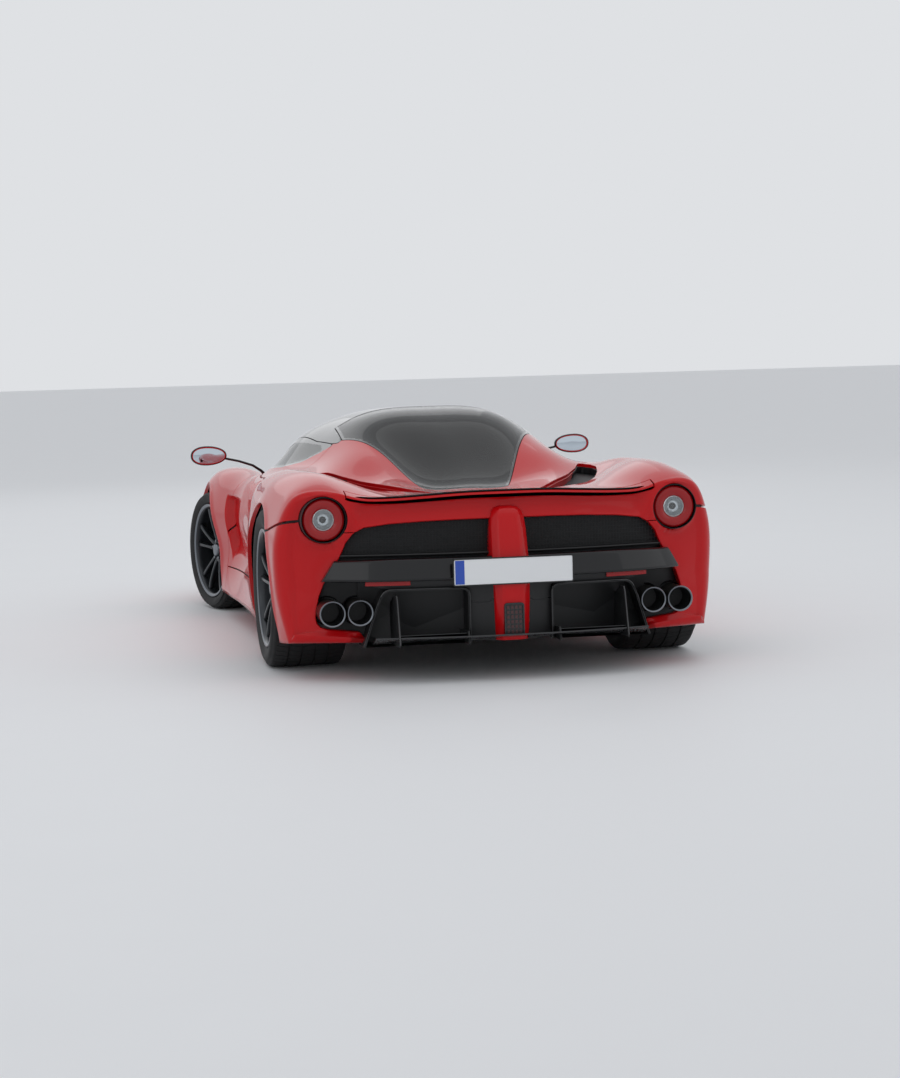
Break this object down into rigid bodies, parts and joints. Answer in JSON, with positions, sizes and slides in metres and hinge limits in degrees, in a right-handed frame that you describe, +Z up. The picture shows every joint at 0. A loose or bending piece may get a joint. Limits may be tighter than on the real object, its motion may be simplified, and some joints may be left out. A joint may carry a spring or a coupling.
{
  "type": "mid-engined supercar",
  "caption": "Low two-seat mid-engined supercar with butterfly doors, lidded nose, glazed engine cover, round tail lamps and finned diffuser.",
  "frame": {"origin": "on the ground under the middle of the car's box", "axes": "+Z up, +Y towards the tail, +X towards the car's left side"},
  "size_m": [2.1636, 4.702, 1.1175],
  "materials": {
    "red_paint": "clear-coated gloss red",
    "black_gloss": "gloss black lacquer",
    "carbon": "woven carbon fibre, satin",
    "black_plastic": "moulded, fine grain",
    "tinted_glass": "tinted, polished",
    "side_glass": "light tint, polished",
    "lamp_lens": "clear polycarbonate",
    "red_lens": "moulded red lens",
    "plate_white": "bare reflective sheet",
    "steel_dark": "heat-darkened steel",
    "aluminium": "forged and machined",
    "caliper_yellow": "gloss yellow enamel",
    "seat_leather": "black fine-grain",
    "grip_leather": "black smooth",
    "engine_metal": "cast",
    "rim_gunmetal": "gunmetal lacquer",
    "tyre_rubber": "rubber"
  },
  "bodies": {
    "root": {"tub": "carbon", "side_skirts": "red_paint", "front_bumper": "red_paint", "headlamps": "lamp_lens", "front_fenders": "red_paint", "front_splitter": "carbon", "roof_frame": "black_gloss", "windscreen": "tinted_glass", "quarters": "red_paint", "tail_panel": "red_paint", "rear_bumper": "red_paint", "tail_lamps": "red_lens", "centre_spine": "red_paint", "rear_bar": "black_gloss", "number_plate": "plate_white", "diffuser": "black_plastic", "exhaust_tips": "steel_dark", "grilles": "black_plastic", "arch_liners": "black_plastic", "front_tray": "black_plastic", "front_suspension": "aluminium", "rear_suspension": "aluminium", "rear_calipers": "caliper_yellow", "seats": "seat_leather", "dashboard": "black_plastic", "engine": "engine_metal", "mirrors": "black_gloss"},
    "front_lid": {"front_lid": "red_paint"},
    "engine_cover": {"engine_cover": "black_gloss", "engine_glass": "tinted_glass"},
    "rear_spoiler": {"rear_spoiler": "red_paint"},
    "door_left": {"door_left": "red_paint", "door_glass_left": "side_glass"},
    "door_right": {"door_right": "red_paint", "door_glass_right": "side_glass"},
    "steering_wheel": {"steering_wheel": "grip_leather"},
    "upright_left": {"knuckle_left": "aluminium", "caliper_left": "caliper_yellow"},
    "upright_right": {"knuckle_right": "aluminium", "caliper_right": "caliper_yellow"},
    "wheel_front_left": {"rim_front_left": "rim_gunmetal", "tyre_front_left": "tyre_rubber"},
    "wheel_front_right": {"rim_front_right": "rim_gunmetal", "tyre_front_right": "tyre_rubber"},
    "wheel_rear_left": {"rim_rear_left": "rim_gunmetal", "tyre_rear_left": "tyre_rubber"},
    "wheel_rear_right": {"rim_rear_right": "rim_gunmetal", "tyre_rear_right": "tyre_rubber"}
  },
  "joints": [
    {"name": "steer_left", "type": "hinge", "parent": "root", "child": "upright_left", "pos_m": [0.7655, -1.191, 0.3208], "axis": [0, 0, 1], "range_deg": [-42, 14]},
    {"name": "steer_right", "type": "hinge", "parent": "root", "child": "upright_right", "pos_m": [-0.7655, -1.191, 0.3208], "axis": [0, 0, 1], "range_deg": [-42, 14]},
    {"name": "spin_front_left", "type": "hinge", "parent": "upright_left", "child": "wheel_front_left", "pos_m": [0.82566, -1.176, 0.3208], "axis": [0.9703, 0.2419, 0], "continuous": true},
    {"name": "spin_front_right", "type": "hinge", "parent": "upright_right", "child": "wheel_front_right", "pos_m": [-0.82566, -1.206, 0.3208], "axis": [0.9703, 0.2419, 0], "continuous": true},
    {"name": "spin_rear_left", "type": "hinge", "parent": "root", "child": "wheel_rear_left", "pos_m": [0.8095, 1.459, 0.3575], "axis": [1, 0, 0], "continuous": true},
    {"name": "spin_rear_right", "type": "hinge", "parent": "root", "child": "wheel_rear_right", "pos_m": [-0.8095, 1.459, 0.3575], "axis": [1, 0, 0], "continuous": true},
    {"name": "open_door_left", "type": "hinge", "parent": "root", "child": "door_left", "pos_m": [0.832, -0.65, 0.695], "axis": [0.598, -0.1495, -0.7874], "range_deg": [0, 50]},
    {"name": "open_door_right", "type": "hinge", "parent": "root", "child": "door_right", "pos_m": [-0.832, -0.65, 0.695], "axis": [0.598, 0.1495, 0.7874], "range_deg": [0, 50]},
    {"name": "open_front_lid", "type": "hinge", "parent": "root", "child": "front_lid", "pos_m": [0, -0.925, 0.766], "axis": [-1, 0, 0], "range_deg": [0, 55]},
    {"name": "open_engine_cover", "type": "hinge", "parent": "root", "child": "engine_cover", "pos_m": [0, 0.307, 1.1172], "axis": [1, 0, 0], "range_deg": [0, 50]},
    {"name": "slide_rear_spoiler", "type": "slide", "parent": "root", "child": "rear_spoiler", "axis": [0, 0.9659, 0.2588], "range_m": [0, 0.06]},
    {"name": "turn_steering_wheel", "type": "hinge", "parent": "root", "child": "steering_wheel", "pos_m": [0.345, -0.235, 0.64], "axis": [0, 0.9272, 0.3746], "range_deg": [-504, 168]}
  ],
  "couplings": [
    {"joint": "steer_right", "follows": "steer_left", "ratio": 1},
    {"joint": "turn_steering_wheel", "follows": "steer_left", "ratio": 12}
  ]
}
